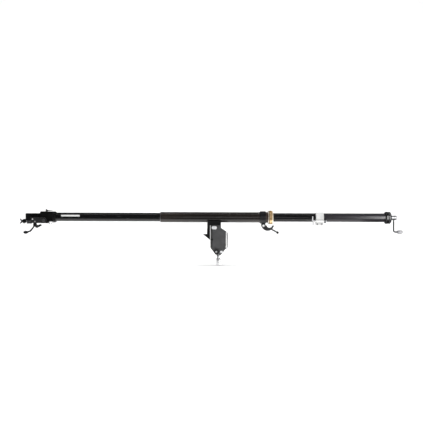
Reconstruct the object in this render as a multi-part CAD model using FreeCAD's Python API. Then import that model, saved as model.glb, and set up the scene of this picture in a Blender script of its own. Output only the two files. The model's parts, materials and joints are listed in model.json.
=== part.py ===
import FreeCAD, Part
import math
import os

# Cranked telescopic boom arm for studio lamps.
#
# Frame: X along the boom with the lamp head at -X and the crank at +X, Y across it with the
# front at -Y, Z up. The origin is on the stand spigot, at the centre of its shoulder. Every shape
# is drawn with z = 0 on the boom axis and lifted by BOOM_HEIGHT as it is written. Millimetres.

V = FreeCAD.Vector

# ---- driving dimensions -------------------------------------------------------------------
BOOM_HEIGHT = 243.0          # boom axis above the spigot shoulder
RUN = 0.05                   # radial clearance of a running fit
FIT = 0.02                   # radial clearance of a fixed fit

# Tubes
TUBE_R = 25.0
TUBE_WALL = 3.0
SLEEVE_R = 30.0
SLEEVE_WALL = 3.0
SLEEVE_X = (-335.0, 277.0)
TUBE_X = (-985.0, 588.0)
REAR_TUBE_X = (588.1, 970.0)
SHAFT_R = 6.0
SHAFT_STEP_R = 4.0

# Bracket
PLATE_Y = 32.0               # inner face of each side plate
PLATE_T = 8.0
PLATE_X = (-49.0, 49.0)
PLATE_TOP = -46.0
PLATE_SHOULDER = -84.0
PLATE_WAIST = -174.0
PLATE_BOTTOM = -217.0
PIVOT = (-24.0, -60.0)       # boom tilt axis (x, z)
PIVOT_R = 8.0
BRAKE_AXIS = (-38.0, -128.0)
BRAKE_PIN_R = 5.0
BRAKE_DRUM_R = 30.0
BRAKE_PAD_T = 2.9
SPIGOT_R = 14.3              # 1-1/8 inch junior pin
SPIGOT_LENGTH = 36.0
SPIGOT_NECK_R = 9.75
LOCK_KNOB = (-11.0, -200.0)
PINCH_BOLT = (18.0, -199.0)
PLATE_SCREWS = [(40.0, -100.0), (40.0, -158.0), (-23.0, -185.0), (24.0, -182.0)]
PLATE_SCREW_R = 2.5
TRUNNIONS = [(PIVOT[0] - 19.0, PIVOT[1] - 7.0), (PIVOT[0] + 5.0, PIVOT[1] - 19.0)]
TRUNNION_R = 3.0
SADDLE_SCREW_X = (-50.0, 5.0)
SADDLE_SCREW_R = 3.0

# Clamp and index ring at the end of the sleeve
COLLAR_X = (241.0, 277.0)
COLLAR_R = 36.0
CAM_AXIS = (262.0, -48.0)
CAM_PIN_R = 5.0
CAM_ROD_R = 4.2
CAM_ROD_START = V(309.0, 0, -68.5)
CAM_ROD_END = V(341.0, 0, -86.0)
CAM_BALL = V(344.9, 0, -88.1)
CAM_BALL_R = 7.6
BUSH_FLANGE_X = (277.05, 289.2)
RING_X = (289.4, 318.0)
RING_R = 41.0
RING_HOLES = 9
KEY_ANGLE = 48.3             # key screw below the horizontal, towards the front
KEY_X = 306.0

# Label strip on the boom tube
LABEL_X = (-912.0, -804.0)
LABEL_ANGLES = (-29.0, -6.0)  # below the horizontal, so the strip lies above the middle

# Joint collar, lock rod and rear end
JOINT_X = (565.0, 611.0)
JOINT_R = 30.5
COLLAR_SCREWS = [(576.0, -38.0), (600.0, -38.0)]
COLLAR_SCREW_R = 2.5
LOCK_ROD_R = 2.8
LOCK_ROD_YZ = (-28.5, -20.0)
LOCK_GRIP_X = 546.0
STOP_PIN_X = 552.0
CAP_X = (970.1, 988.0)
DOME_X = (988.1, 1007.0)
CAP_R = 35.0
HUB_X = (1007.4, 1037.0)
HUB_R = 12.7
CRANK_ARM_X = 1021.5
CRANK_REACH = 83.0
CRANK_ARM_R = 3.8
KNOB_X = (1035.0, 1070.0)

# Head
HOUSING_X = (-1034.0, -960.0)
HOUSING_Y = 28.0
HOUSING_TOP = 32.0
HOUSING_BOTTOM = -37.0
CAVITY_X = (-1026.0, -998.0)
TILT = (-1012.0, -20.0)      # head tilt axis (x, z)
TILT_SHAFT_R = 7.0
WORM_R = 7.4
WHEEL_R = 12.4
WHEEL_TEETH = 20
COVER_SCREWS = [(-1028.7, 11.5), (-995.3, 11.5), (-1028.7, -32.0), (-995.3, -32.0)]
COVER_SCREW_R = 1.5
COVER_HEAD_R = 2.6
YOKE_X = (-1085.0, -1058.0)
YOKE_Y = (29.0, 37.0)
YOKE_Z = (-36.0, -4.0)       # cross-piece, under the stop bar
CHEEK_Z = (-36.0, -2.0)
SOCKET_X = -1102.0
SOCKET_BORE_R = 8.1          # takes a 16 mm (5/8 inch) lamp spigot
SOCKET_LINER_R = 15.0
SWIVEL_R = 10.0
WING_Z = -25.5
RATCHET_X = -1069.0
RATCHET_TURN = 30.0          # the arm points to the front, clear of the socket's mouth
STUB_X = (-1092.9, -1058.3)
LATCH_X = -1000.0
LARGE_RING_X = -971.0
SMALL_RING_X = -950.0
RING_HINGE = (-31.0, -22.5)  # (y, z) where both rings hang


# ---- shape helpers ------------------------------------------------------------------------
def box(x, y, z):
    """Box from three (low, high) pairs."""
    return Part.makeBox(x[1] - x[0], y[1] - y[0], z[1] - z[0], V(x[0], y[0], z[0]))


def rod(start, end, radius):
    """Cylinder between two points."""
    return Part.makeCylinder(radius, (end - start).Length, start, end - start)


def rod_x(x, y, z, radius):
    return rod(V(x[0], y, z), V(x[1], y, z), radius)


def rod_y(place, y, radius):
    """Cylinder along Y at an (x, z) place, from y[0] to y[1]."""
    return rod(V(place[0], y[0], place[1]), V(place[0], y[1], place[1]), radius)


def rod_z(x, y, z, radius):
    return rod(V(x, y, z[0]), V(x, y, z[1]), radius)


def pipe_x(x, outer, inner):
    """Plain tube on the boom axis."""
    longer = (x[0] - 1.0, x[1] + 1.0)
    return rod_x(x, 0, 0, outer).cut(rod_x(longer, 0, 0, inner))


def prism_y(outline, y):
    """Closed (x, z) outline extruded from y[0] to y[1]."""
    corners = [V(px, y[0], pz) for px, pz in outline]
    face = Part.Face(Part.makePolygon(corners + corners[:1]))
    return face.extrude(V(0, y[1] - y[0], 0))


def turned_x(profile, y=0.0, z=0.0):
    """Closed (x, radius) profile turned about an axis along X."""
    corners = [V(px, 0, pr) for px, pr in profile]
    face = Part.Face(Part.makePolygon(corners + corners[:1]))
    solid = face.revolve(V(0, 0, 0), V(1, 0, 0), 360)
    solid.translate(V(0, y, z))
    return solid


def turned_z(profile, x=0.0, y=0.0):
    """Closed (radius, z) profile turned about an axis along Z."""
    corners = [V(pr, 0, pz) for pr, pz in profile]
    face = Part.Face(Part.makePolygon(corners + corners[:1]))
    solid = face.revolve(V(0, 0, 0), V(0, 0, 1), 360)
    solid.translate(V(x, y, 0))
    return solid


def hexagon_y(place, y, across_flats):
    """Hexagonal prism along Y."""
    corner = across_flats / math.sqrt(3.0)
    outline = []
    for step in range(6):
        turn = math.radians(60 * step)
        outline.append((place[0] + corner * math.cos(turn), place[1] + corner * math.sin(turn)))
    return prism_y(outline, y)


def joined(*shapes):
    whole = shapes[0]
    for shape in shapes[1:]:
        whole = whole.fuse(shape)
    return whole.removeSplitter()


def without(shape, *tools):
    for tool in tools:
        shape = shape.cut(tool)
    return shape


def rounded(shape, radius, choose):
    """Fillet the edges that the test picks."""
    edges = [edge for edge in shape.Edges if choose(edge)]
    return shape.makeFillet(radius, edges)


def runs_along(edge, axis):
    """True for a straight edge parallel to the unit vector."""
    if not isinstance(edge.Curve, (Part.Line, Part.LineSegment)):
        return False
    direction = edge.Vertexes[-1].Point - edge.Vertexes[0].Point
    return abs(abs(direction.normalize().dot(axis)) - 1.0) < 1e-6


def bent_rod(points, radius, bend):
    """Round rod through points, with tangent arcs of the bend radius at the inner ones."""
    edges = []
    start = points[0]
    for before, corner, after in zip(points, points[1:], points[2:]):
        back = (before - corner).normalize()
        ahead = (after - corner).normalize()
        half = back.getAngle(ahead) / 2.0
        reach = bend / math.tan(half)
        into = corner + back * reach
        out_of = corner + ahead * reach
        centre = corner + (back + ahead).normalize() * (bend / math.sin(half))
        middle = centre + (corner - centre).normalize() * bend
        edges.append(Part.LineSegment(start, into).toShape())
        edges.append(Part.Arc(into, middle, out_of).toShape())
        start = out_of
    edges.append(Part.LineSegment(start, points[-1]).toShape())
    path = Part.Wire(edges)
    circle = Part.Circle(points[0], points[1] - points[0], radius).toShape()
    return path.makePipeShell([Part.Wire(circle)], True, False)


def coil_y(place, y, mean_radius, wire_radius, turns):
    """Close-wound spring coil about an axis along Y."""
    length = y[1] - y[0]
    helix = Part.makeHelix(length / turns, length, mean_radius)
    wire = Part.Wire(Part.Circle(V(mean_radius, 0, 0), V(0, 1, 0), wire_radius).toShape())
    spring = Part.Wire(helix).makePipeShell([wire], True, True)
    spring.rotate(V(0, 0, 0), V(1, 0, 0), -90)
    spring.translate(V(place[0], y[0], place[1]))
    return spring


def radial(angle_below, radius):
    """(y, z) offset at an angle below the horizontal, on the front side."""
    turn = math.radians(angle_below)
    return -radius * math.cos(turn), -radius * math.sin(turn)


def radial_rod(x, angle_below, inner, outer, radius):
    start = radial(angle_below, inner)
    end = radial(angle_below, outer)
    return rod(V(x, start[0], start[1]), V(x, end[0], end[1]), radius)


def both_sides(shape):
    """The shape and its mirror image across the XZ plane."""
    return Part.makeCompound([shape, shape.mirror(V(0, 0, 0), V(0, 1, 0))])


# ---- bracket ------------------------------------------------------------------------------
def side_plate():
    """Front plate with broad machined bevels and a long channel beside the left one."""
    left, right = PLATE_X
    outline = [
        (left, PLATE_TOP),
        (15.0, PLATE_TOP),
        (15.0, -62.0),
        (right, PLATE_SHOULDER),
        (right, PLATE_WAIST),
        (15.0, PLATE_BOTTOM),
        (-13.0, PLATE_BOTTOM),
        (left, PLATE_WAIST),
    ]
    outer = -PLATE_Y - PLATE_T
    plate = prism_y(outline, (outer, -PLATE_Y))
    for edge_x, inward in ((left, 1.0), (right, -1.0)):
        bevel = Part.Face(Part.makePolygon([
            V(edge_x - inward, outer - 1.0, PLATE_BOTTOM),
            V(edge_x + inward * 6.5, outer - 1.0, PLATE_BOTTOM),
            V(edge_x + inward * 5.5, outer, PLATE_BOTTOM),
            V(edge_x, outer + 5.5, PLATE_BOTTOM),
            V(edge_x - inward, outer + 5.5, PLATE_BOTTOM),
            V(edge_x - inward, outer - 1.0, PLATE_BOTTOM),
        ]))
        plate = plate.cut(bevel.extrude(V(0, 0, PLATE_TOP - PLATE_BOTTOM + 1.0)))
    channel_z = (PLATE_WAIST + 2.0, PLATE_TOP - 3.0)
    channel = box((left + 6.8, left + 14.5), (outer - 1.0, outer + 2.0), channel_z)
    through = (outer - 1.0, -PLATE_Y + 1.0)
    holes = [channel, rod_y(PIVOT, through, PIVOT_R + FIT)]
    holes.append(rod_y(BRAKE_AXIS, through, BRAKE_PIN_R + FIT))
    holes.append(rod_y(LOCK_KNOB, through, 4.0 + RUN))
    holes.append(rod_y(PINCH_BOLT, through, 4.0 + FIT))
    for place in PLATE_SCREWS:
        holes.append(rod_y(place, through, PLATE_SCREW_R + FIT))
    return without(plate, *holes)


def back_strap():
    outline = [(33.0, -80.0), (45.0, -80.0), (55.0, -90.0), (55.0, -173.0), (46.0, -183.0), (33.0, -183.0)]
    strap = prism_y(outline, (-PLATE_Y + FIT, PLATE_Y - FIT))
    for place in PLATE_SCREWS[:2]:
        strap = strap.cut(rod_y(place, (-40.0, 40.0), PLATE_SCREW_R + FIT))
    return strap


def foot_block():
    outline = [
        (-30.0, -178.0), (30.0, -178.0), (30.0, -193.0),
        (10.0, -216.0), (-12.0, -216.0), (-30.0, -194.0),
    ]
    block = prism_y(outline, (-PLATE_Y + FIT, PLATE_Y - FIT))
    holes = [rod_z(0, 0, (-230.0, -186.0), SPIGOT_NECK_R + FIT)]
    holes.append(rod_y(LOCK_KNOB, (-40.0, -9.0), 4.0 + RUN))
    holes.append(rod_y(PINCH_BOLT, (-40.0, 40.0), 4.0 + FIT))
    for place in PLATE_SCREWS[2:]:
        holes.append(rod_y(place, (-40.0, 40.0), PLATE_SCREW_R + FIT))
    return without(block, *holes)


def stand_spigot():
    """Junior pin with a waisted neck, seated in the foot block."""
    shoulder = -BOOM_HEIGHT
    tip = shoulder - SPIGOT_LENGTH
    return turned_z([
        (0, tip),
        (SPIGOT_R - 1.5, tip),
        (SPIGOT_R, tip + 1.5),
        (SPIGOT_R, shoulder),
        (SPIGOT_NECK_R, shoulder + 3.0),
        (SPIGOT_NECK_R, -187.0),
        (0, -187.0),
    ])


def plate_screws():
    """Button-head screws through both side plates."""
    face = -PLATE_Y - PLATE_T
    solids = []
    for place in PLATE_SCREWS:
        head = rod_y(place, (face - 2.6, face - FIT), 4.6)
        hollow = hexagon_y(place, (face - 3.0, face - 1.2), 3.2)
        shank = rod_y(place, (face - FIT, -PLATE_Y + 14.0), PLATE_SCREW_R)
        solids.append(joined(without(head, hollow), shank))
    return both_sides(Part.makeCompound(solids))


def pinch_bolt():
    """Hexagon bolt through the foot block, with its nut at the back."""
    face = PLATE_Y + PLATE_T
    head = hexagon_y(PINCH_BOLT, (-face - 6.0, -face - FIT), 14.0)
    shank = rod_y(PINCH_BOLT, (-face - FIT, face + 7.0), 4.0)
    nut = hexagon_y(PINCH_BOLT, (face + FIT, face + 6.0), 13.0)
    nut = nut.cut(rod_y(PINCH_BOLT, (face - 1.0, face + 8.0), 4.0 + FIT))
    return Part.makeCompound([joined(head, shank), nut])


def pivot_pin():
    """Boom pivot with an obround keyed head."""
    face = PLATE_Y + PLATE_T
    half_slot = 5.5
    head_r = 9.5
    left = (PIVOT[0] - half_slot, PIVOT[1])
    right = (PIVOT[0] + half_slot, PIVOT[1])
    span = (-face - 5.0, -face - FIT)
    middle = box((left[0], right[0]), span, (PIVOT[1] - head_r, PIVOT[1] + head_r))
    head = joined(rod_y(left, span, head_r), rod_y(right, span, head_r), middle)
    head = rounded(head, 1.8, lambda edge: edge.BoundBox.YMax < -face - 4.9)
    return joined(head, rod_y(PIVOT, (-face - FIT, face + 11.0), PIVOT_R))


def pivot_nut():
    face = PLATE_Y + PLATE_T
    nut = hexagon_y(PIVOT, (face + 2.1, face + 10.0), 24.0)
    washer = rod_y(PIVOT, (face + FIT, face + 2.2), 14.5)
    return joined(nut, washer).cut(rod_y(PIVOT, (face - 1.0, face + 12.0), PIVOT_R + FIT))


def brake_pin():
    face = PLATE_Y + PLATE_T
    front_head = rod_y(BRAKE_AXIS, (-face - 2.5, -face - FIT), 7.0)
    back_head = rod_y(BRAKE_AXIS, (face + FIT, face + 2.5), 7.0)
    return joined(rod_y(BRAKE_AXIS, (-face - 1.0, face + 1.0), BRAKE_PIN_R), front_head, back_head)


def brake_spring():
    return coil_y(BRAKE_AXIS, (14.0, 24.0), 12.2, 1.1, 4)


def lock_knob():
    """Lobed knob on a threaded stud that pinches the spigot neck."""
    face = -PLATE_Y - PLATE_T
    radius = 15.0
    knob = rod_y(LOCK_KNOB, (face - 16.0, face - 3.0), radius)
    for lobe in range(6):
        turn = math.radians(60 * lobe + 30)
        notch = (LOCK_KNOB[0] + 17.5 * math.cos(turn), LOCK_KNOB[1] + 17.5 * math.sin(turn))
        knob = knob.cut(rod_y(notch, (face - 18.0, face), 5.0))
    boss = rod_y(LOCK_KNOB, (face - 3.5, face - 0.5), 8.0)
    stud = rod_y(LOCK_KNOB, (face - 1.0, -10.5), 4.0)
    return joined(knob, boss, stud)


# ---- tilt brake ---------------------------------------------------------------------------
def brake_lever():
    """Lever with a pointed finger spur; its upper arm carries the brake pad."""
    outline = [
        (-66.0, -66.0),
        (-30.0, -66.0),
        (-28.0, BRAKE_AXIS[1]),
        (-44.6, -135.5),
        (-87.5, -100.5),
        (-89.0, -98.0),
        (-66.0, -98.0),
    ]
    arm = prism_y(outline, (-6.5, 6.5))
    hub = rod_y(BRAKE_AXIS, (-31.5, 31.5), 10.0)
    seat = rod_y(PIVOT, (-10.0, 10.0), BRAKE_DRUM_R + 0.1 + BRAKE_PAD_T + FIT)
    bore = rod_y(BRAKE_AXIS, (-33.0, 33.0), BRAKE_PIN_R + RUN)
    return without(joined(arm, hub), seat, bore)


def brake_pad():
    inner = BRAKE_DRUM_R + 0.1
    ring = rod_y(PIVOT, (-5.0, 5.0), inner + BRAKE_PAD_T).cut(rod_y(PIVOT, (-6.0, 6.0), inner))
    fan = [PIVOT]
    for degrees in (197.0, 220.0, 243.0):
        turn = math.radians(degrees)
        fan.append((PIVOT[0] + 60.0 * math.cos(turn), PIVOT[1] + 60.0 * math.sin(turn)))
    return ring.common(prism_y(fan, (-5.0, 5.0)))


def brake_sector():
    """Smooth drum sector under the pivot, with two trunnions seated in the saddle cheeks."""
    fan = [PIVOT]
    for degrees in (185.0, 215.0, 245.0, 275.0, 300.0):
        turn = math.radians(degrees)
        fan.append((PIVOT[0] + 60.0 * math.cos(turn), PIVOT[1] + 60.0 * math.sin(turn)))
    rim = rod_y(PIVOT, (-5.0, 5.0), BRAKE_DRUM_R).common(prism_y(fan, (-5.0, 5.0)))
    hub = rod_y(PIVOT, (-5.0, 5.0), 14.0)
    body = joined(rim, hub, *[rod_y(place, (-18.0, 18.0), TRUNNION_R) for place in TRUNNIONS])
    return body.cut(rod_y(PIVOT, (-6.0, 6.0), PIVOT_R + 0.3))


# ---- sleeve and saddle --------------------------------------------------------------------
def saddle():
    """Cradle under the sleeve with two cheeks that hang on the pivot pin."""
    outline = [(-65.0, -20.0), (15.0, -20.0), (15.0, -60.0), (-2.0, -82.0), (-40.0, -84.0), (-65.0, -64.0)]
    body = prism_y(outline, (-31.0, 31.0))
    body = rounded(body, 5.0, lambda edge: runs_along(edge, V(0, 1, 0)) and edge.BoundBox.ZMax < -21.0)
    tools = [rod_x((-80.0, 30.0), 0, 0, SLEEVE_R + FIT)]
    tools.append(box((-80.0, 30.0), (-10.0, 10.0), (-100.0, -44.0)))
    tools.append(rod_y(PIVOT, (-40.0, 40.0), 10.0 + FIT))
    for place in TRUNNIONS:
        tools.append(rod_y(place, (-18.5, 18.5), TRUNNION_R + FIT))
    for x in SADDLE_SCREW_X:
        tools.append(rod_z(x, 0, (-50.0, -20.0), SADDLE_SCREW_R + FIT))
    return without(body, *tools)


def pivot_bushes():
    bush = rod_y(PIVOT, (-30.8, -10.5), 10.0).cut(rod_y(PIVOT, (-32.0, -9.0), PIVOT_R + RUN))
    return both_sides(bush)


def saddle_screws():
    solids = []
    for x in SADDLE_SCREW_X:
        head = rod_z(x, 0, (-48.5, -44.0 - FIT), 5.0)
        solids.append(joined(head, rod_z(x, 0, (-44.1, -27.2), SADDLE_SCREW_R)))
    return Part.makeCompound(solids)


def sleeve():
    body = pipe_x(SLEEVE_X, SLEEVE_R, SLEEVE_R - SLEEVE_WALL)
    slit = box((SLEEVE_X[1] - 42.0, SLEEVE_X[1] + 1.0), (-1.0, 1.0), (-32.0, -26.0))
    holes = [rod_z(x, 0, (-32.0, -26.0), SADDLE_SCREW_R + FIT) for x in SADDLE_SCREW_X]
    return without(body, slit, *holes)


def front_bush():
    start = SLEEVE_X[0]
    inner = TUBE_R + 0.06
    outer = SLEEVE_R - SLEEVE_WALL - FIT
    return turned_x([
        (start - 3.0, inner + 0.6),
        (start - 3.0, SLEEVE_R - 1.0),
        (start - 2.0, SLEEVE_R),
        (start - FIT, SLEEVE_R),
        (start - FIT, outer),
        (start + 60.0, outer),
        (start + 60.0, inner),
        (start - 2.4, inner),
    ])


def end_bush():
    """Flanged bush whose counterbore carries the neck of the index ring."""
    inner = TUBE_R + 0.06
    outer = SLEEVE_R - SLEEVE_WALL - FIT
    face, end = BUSH_FLANGE_X
    return turned_x([
        (face - 60.0, inner),
        (face - 60.0, outer),
        (face, outer),
        (face, SLEEVE_R + 0.6),
        (end - 1.0, SLEEVE_R + 0.6),
        (end, SLEEVE_R - 0.4),
        (end, 28.0),
        (face + 3.0, 28.0),
        (face + 3.0, inner),
    ])


def clamp_collar():
    """Split collar round the slotted sleeve end, with two lugs for the cam lever's pin."""
    low, high = COLLAR_X
    bore = SLEEVE_R + FIT
    ring = turned_x([
        (low, bore),
        (low, COLLAR_R - 2.0),
        (low + 2.0, COLLAR_R),
        (high - 4.0, COLLAR_R),
        (high, COLLAR_R - 3.0),
        (high, bore),
    ])
    lug = joined(rod_y(CAM_AXIS, (-9.0, 9.0), 12.0), box((250.0, 274.0), (-9.0, 9.0), (CAM_AXIS[1], -31.0)))
    body = joined(ring, lug)
    tools = [rod_x((230.0, 290.0), 0, 0, bore)]
    tools.append(box((230.0, 290.0), (-1.5, 1.5), (-70.0, -28.0)))
    tools.append(rod_y(CAM_AXIS, (-20.0, 20.0), CAM_PIN_R + FIT))
    return without(body, *tools)


def clamp_pin():
    head = rod_y(CAM_AXIS, (-17.0, -13.1), 7.0)
    head = rounded(head, 1.2, lambda edge: edge.BoundBox.YMax < -16.9)
    nut = hexagon_y(CAM_AXIS, (13.1, 18.0), 13.0)
    return joined(head, rod_y(CAM_AXIS, (-13.2, 19.0), CAM_PIN_R), nut)


# ---- cam lever ----------------------------------------------------------------------------
def cam_lever():
    """Crescent lever, forked round the collar's lugs."""
    outer = rod_y((287.0, -42.0), (-13.0, 13.0), 36.0)
    lower_half = box((240.0, 330.0), (-14.0, 14.0), (-85.0, -46.0))
    inner = rod_y((298.0, -42.0), (-14.0, 14.0), 18.0)
    crescent = outer.common(lower_half).cut(inner)
    crescent = joined(crescent, rod_y(CAM_AXIS, (-13.0, 13.0), 12.0))
    lug_space = rod_y(CAM_AXIS, (-9.2, 9.2), 14.5)
    over_pin = box((245.0, 277.0), (-9.2, 9.2), (CAM_AXIS[1], -30.0))
    reach = CAM_ROD_END - CAM_ROD_START
    socket = rod(CAM_ROD_START - reach * 0.08, CAM_ROD_END, CAM_ROD_R + FIT)
    bore = rod_y(CAM_AXIS, (-20.0, 20.0), CAM_PIN_R + RUN)
    return without(crescent, lug_space, over_pin, socket, bore)


def cam_rod():
    return rod(CAM_ROD_START, CAM_ROD_END, CAM_ROD_R)


def cam_ball():
    ball = Part.makeSphere(CAM_BALL_R, CAM_BALL)
    return ball.cut(rod(CAM_ROD_START, CAM_ROD_END, CAM_ROD_R + FIT))


# ---- index ring ---------------------------------------------------------------------------
def index_ring():
    """Ring that turns on the end bush and is keyed to the boom tube."""
    low, high = RING_X
    bore = TUBE_R + 0.06
    neck = 28.0 - RUN
    body = turned_x([
        (BUSH_FLANGE_X[0] + 3.2, bore),
        (BUSH_FLANGE_X[0] + 3.2, neck),
        (low, neck),
        (low, RING_R - 0.8),
        (low + 0.8, RING_R),
        (low + 3.4, RING_R),
        (low + 4.0, RING_R - 4.0),
        (low + 7.0, RING_R - 4.0),
        (low + 8.0, RING_R - 1.2),
        (high - 9.0, RING_R - 1.2),
        (high - 3.0, RING_R - 2.4),
        (high, RING_R - 5.0),
        (high, bore),
    ])
    for step in range(RING_HOLES):
        angle = KEY_ANGLE + 360.0 * step / RING_HOLES
        inner = TUBE_R - 1.0 if step == 0 else RING_R - 6.0
        body = body.cut(radial_rod(KEY_X, angle, inner, RING_R + 2.0, 2.5 + FIT))
    return body


def key_screw():
    """Dog-point screw; its tip runs in the tube's keyway."""
    body = radial_rod(KEY_X, KEY_ANGLE, TUBE_R - 1.9, RING_R - 3.4, 2.5)
    return body.cut(radial_rod(KEY_X, KEY_ANGLE, RING_R - 6.0, RING_R, 1.3))


# ---- boom tube and what it carries ----------------------------------------------------------
def label_shell(inner, outer, margin):
    """Part-cylinder shell on the front of the tube."""
    span = (LABEL_X[0] - margin, LABEL_X[1] + margin)
    shell = pipe_x(span, outer, inner)
    far = 60.0
    low = radial(LABEL_ANGLES[0] - margin, far)
    high = radial(LABEL_ANGLES[1] + margin, far)
    corners = [V(span[0], 0, 0), V(span[0], low[0], low[1]), V(span[0], high[0], high[1])]
    wedge = Part.Face(Part.makePolygon(corners + corners[:1])).extrude(V(span[1] - span[0], 0, 0))
    return shell.common(wedge)


def boom_tube():
    body = pipe_x(TUBE_X, TUBE_R, TUBE_R - TUBE_WALL)
    keyway = box((-300.0, 528.0), (-TUBE_R - 2.0, -TUBE_R + 2.2), (-2.6, 2.6))
    keyway.rotate(V(0, 0, 0), V(1, 0, 0), KEY_ANGLE)
    recess = label_shell(TUBE_R - 0.4, TUBE_R + 1.0, 0.3)
    return without(body, keyway, recess, rod_z(STOP_PIN_X, 0, (-30.0, -20.0), 2.5 + FIT))


def label_strip():
    return label_shell(TUBE_R - 0.35, TUBE_R - 0.03, 0.0)


def rear_tube():
    return pipe_x(REAR_TUBE_X, TUBE_R, TUBE_R - TUBE_WALL)


def tube_joiner():
    body = rod_x((558.0, 640.0), 0, 0, TUBE_R - TUBE_WALL - FIT)
    return body.cut(rod_x((550.0, 650.0), 0, 0, SHAFT_R + RUN))


def joint_collar():
    """Split collar over the tube joint, with a boss for the lock rod on its front."""
    low, high = JOINT_X
    ring = turned_x([
        (low, TUBE_R),
        (low, JOINT_R - 3.5),
        (low + 4.0, JOINT_R),
        (low + 13.0, JOINT_R),
        (low + 13.0, JOINT_R - 1.2),
        (low + 17.0, JOINT_R - 1.2),
        (low + 17.0, JOINT_R),
        (high - 16.0, JOINT_R),
        (high - 16.0, JOINT_R - 1.2),
        (high - 12.0, JOINT_R - 1.2),
        (high - 12.0, JOINT_R),
        (high - 2.5, JOINT_R),
        (high, JOINT_R - 2.5),
        (high, TUBE_R),
    ])
    lug = prism_y([
        (low + 2.0, -24.0), (low + 2.0, -41.0), (low + 8.0, -46.0),
        (high - 8.0, -46.0), (high - 2.0, -41.0), (high - 2.0, -24.0),
    ], (-11.0, 11.0))
    boss = rod_x((low, high), LOCK_ROD_YZ[0], LOCK_ROD_YZ[1], 6.5)
    body = joined(ring, lug, boss)
    tools = [rod_x((low - 5.0, high + 5.0), 0, 0, TUBE_R + FIT)]
    tools.append(box((low - 5.0, high + 5.0), (-1.0, 1.0), (-60.0, -20.0)))
    tools.append(rod_x((low - 5.0, high + 5.0), LOCK_ROD_YZ[0], LOCK_ROD_YZ[1], LOCK_ROD_R + RUN))
    for place in COLLAR_SCREWS:
        tools.append(rod_y(place, (-20.0, 20.0), COLLAR_SCREW_R + FIT))
    return without(body, *tools)


def lock_rod():
    """L-shaped rod: the short leg is the finger grip."""
    y, z = LOCK_ROD_YZ
    points = [V(626.0, y, z), V(LOCK_GRIP_X, y, z), V(LOCK_GRIP_X, y, z + 26.0)]
    return bent_rod(points, LOCK_ROD_R, 5.0)


def keeper_tab():
    y, z = LOCK_ROD_YZ
    body = box((613.0, 624.0), (y - 5.5, -10.0), (z - 12.0, z + 5.5))
    reach = (600.0, 640.0)
    return without(body, rod_x(reach, 0, 0, TUBE_R + FIT), rod_x(reach, y, z, LOCK_ROD_R + RUN))


def stop_pin():
    return rod_z(STOP_PIN_X, 0, (-46.0, -22.3), 2.5)


def shaft_bearings():
    """Nylon discs along the tube, and the two bushes beside the worm."""
    solids = []
    for x in (-700.0, -350.0, 0.0, 330.0, 800.0):
        disc = rod_x((x - 6.0, x + 6.0), 0, 0, TUBE_R - TUBE_WALL - FIT)
        solids.append(disc.cut(rod_x((x - 8.0, x + 8.0), 0, 0, SHAFT_R + RUN)))
    right = rod_x((-996.0, -986.2), 0, 0, 11.0).cut(rod_x((-999.0, -985.0), 0, 0, SHAFT_R + RUN))
    left = rod_x((-1030.9, -1026.2), 0, 0, 7.5).cut(rod_x((-1032.0, -1025.0), 0, 0, SHAFT_STEP_R + RUN))
    return Part.makeCompound(solids + [right, left])


def end_cap_flange():
    low, high = CAP_X
    plug = TUBE_R - TUBE_WALL - FIT
    return turned_x([
        (low - 25.0, SHAFT_R + RUN),
        (low - 25.0, plug - 1.0),
        (low - 24.0, plug),
        (low, plug),
        (low, CAP_R - 4.0),
        (low + 1.5, CAP_R - 1.2),
        (low + 4.5, CAP_R),
        (high - 3.0, CAP_R),
        (high, CAP_R - 1.5),
        (high, SHAFT_R + RUN),
    ])


def end_cap_dome():
    low, high = DOME_X
    return turned_x([
        (low, SHAFT_R + RUN),
        (low, CAP_R - 3.0),
        (low + 3.0, CAP_R - 3.0),
        (low + 3.0, CAP_R - 0.8),
        (low + 4.0, CAP_R),
        (low + 8.0, CAP_R),
        (low + 11.5, CAP_R - 2.0),
        (low + 14.5, CAP_R - 5.5),
        (low + 17.0, CAP_R - 11.0),
        (high, CAP_R - 17.0),
        (high, SHAFT_R + RUN),
    ])


# ---- gearbox ------------------------------------------------------------------------------
def gearbox_housing():
    """Casting on the end of the boom tube; the worm and wheel sit in its left half."""
    low, high = HOUSING_X
    outline = [
        (low, HOUSING_BOTTOM),
        (low, HOUSING_TOP),
        (high, HOUSING_TOP),
        (high, -28.0),
        (-990.0, -28.0),
        (-990.0, HOUSING_BOTTOM),
    ]
    body = prism_y(outline, (-HOUSING_Y, HOUSING_Y))
    body = rounded(body, 7.0, lambda edge: runs_along(edge, V(0, 1, 0)) and edge.BoundBox.XMax < low + 1.0)
    near_top = HOUSING_TOP - 1.0
    body = rounded(body, 4.0, lambda edge: runs_along(edge, V(1, 0, 0)) and edge.BoundBox.ZMin > near_top)
    tools = [box(CAVITY_X, (-22.0, HOUSING_Y + 1.0), (-34.0, 12.0))]
    tools.append(box((-1031.5, -992.5), (22.0, HOUSING_Y + 1.0), (-35.5, 15.0)))
    tools.append(rod_x((TUBE_X[0] - 1.0, high + 1.0), 0, 0, TUBE_R + FIT))
    tools.append(rod_x((-999.0, TUBE_X[0]), 0, 0, 11.0 + FIT))
    tools.append(rod_x((-1031.0, -1025.0), 0, 0, 7.5 + FIT))
    tools.append(rod_y(TILT, (-40.0, 0.0), TILT_SHAFT_R + RUN))
    tools.append(rod_z(LATCH_X, 0, (22.0, 40.0), 3.0 + RUN))
    for place in COVER_SCREWS:
        tools.append(rod_y(place, (12.0, 24.0), COVER_SCREW_R + FIT))
    return joined(without(body, *tools), ring_lug(LARGE_RING_X, -HOUSING_Y + 1.0))


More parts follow.
